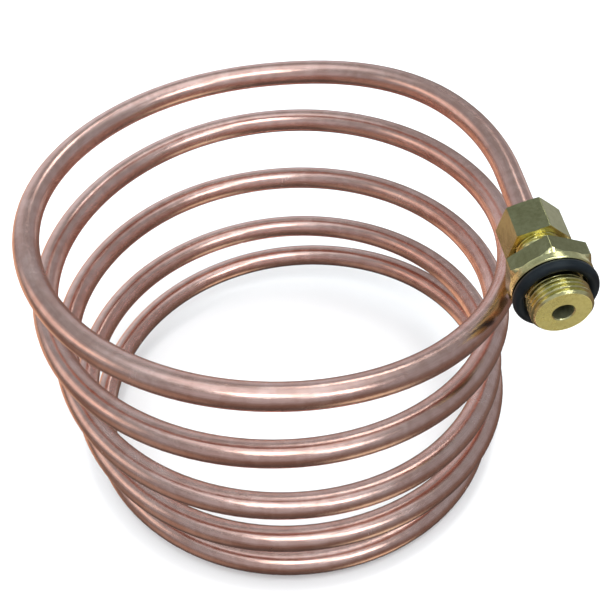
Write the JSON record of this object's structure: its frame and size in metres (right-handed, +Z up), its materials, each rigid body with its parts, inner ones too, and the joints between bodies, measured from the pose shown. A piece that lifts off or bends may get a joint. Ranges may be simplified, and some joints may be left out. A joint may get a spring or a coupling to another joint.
{
  "type": "immersion wort chiller",
  "caption": "Hand-wound open copper coil with a brass compression fitting on its upper end, whose male pipe thread seals with a rubber ring.",
  "frame": {"origin": "on the table, under the middle of the whole object's bounding box", "axes": "+Z up along the coil, -Y the side that the pipe thread points to, +X the side that the fitting is on"},
  "size_m": [0.2005, 0.1843, 0.1335],
  "materials": {
    "copper": "satin copper, lightly scuffed",
    "brass": "bright turned brass",
    "rubber": "matt black"
  },
  "bodies": {
    "coil": {"coil_tube": "copper", "ferrule": "brass"},
    "nut": {"compression_nut": "brass"},
    "stud": {"stud_body": "brass", "o_ring": "rubber"}
  },
  "joints": [
    {"name": "nut_turn", "type": "hinge", "parent": "coil", "child": "nut", "pos_m": [0.0834, -0.02782, 0.11966], "axis": [-0.0971, 0.9896, 0.1064], "range_deg": [0, 1440]},
    {"name": "stud_draw", "type": "slide", "parent": "coil", "child": "stud", "axis": [0.0971, -0.9896, -0.1064], "range_m": [0, 0.006]}
  ],
  "couplings": [
    {"joint": "nut_turn", "follows": "stud_draw", "rad_per_m": 4188.8}
  ]
}
